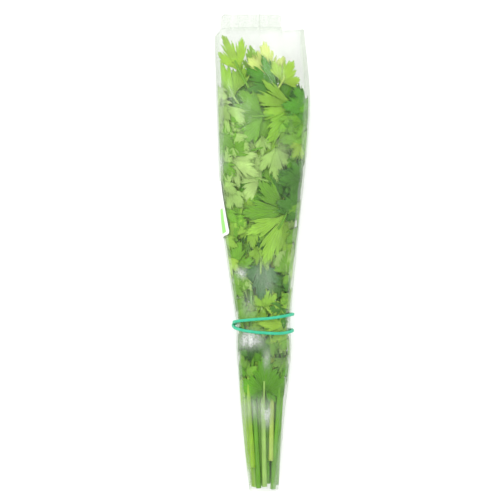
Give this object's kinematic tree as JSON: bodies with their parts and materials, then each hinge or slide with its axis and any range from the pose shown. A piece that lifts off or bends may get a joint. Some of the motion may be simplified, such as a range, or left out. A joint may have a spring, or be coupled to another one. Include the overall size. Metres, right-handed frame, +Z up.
{
  "type": "sleeved parsley bunch",
  "caption": "bunch of cut flat-leaf parsley in a clear tapered film sleeve, with a rubber band wound round its waist and a plain label on its flank, lying down",
  "frame": {"origin": "on the table under the middle of the bunch, at the centre of the bottom of its bounding box", "axes": "+Y along the bunch from the cut ends to the leaf tips, +Z up from the table, +X to the right"},
  "size_m": [0.0696, 0.35, 0.0346],
  "materials": {
    "film": "clear thin film, glossy, lightly creased",
    "band": "matt teal-green rubber",
    "label": "smooth white sticker, plain",
    "leaf_light": "thin light green leaf and stalk, satin",
    "leaf_mid": "thin mid green leaf and stalk, satin",
    "leaf_dark": "thin dark green leaf and stalk, satin"
  },
  "bodies": {
    "root": {"sleeve": "film", "band": "band", "label": "label", "frond_01": "leaf_dark", "frond_02": "leaf_mid", "frond_03": "leaf_light", "frond_04": "leaf_mid", "frond_05": "leaf_light", "frond_06": "leaf_dark", "frond_07": "leaf_mid", "frond_08": "leaf_dark", "frond_09": "leaf_light", "frond_10": "leaf_mid", "frond_11": "leaf_light", "frond_12": "leaf_dark", "frond_13": "leaf_mid", "frond_14": "leaf_dark"}
  },
  "joints": []
}
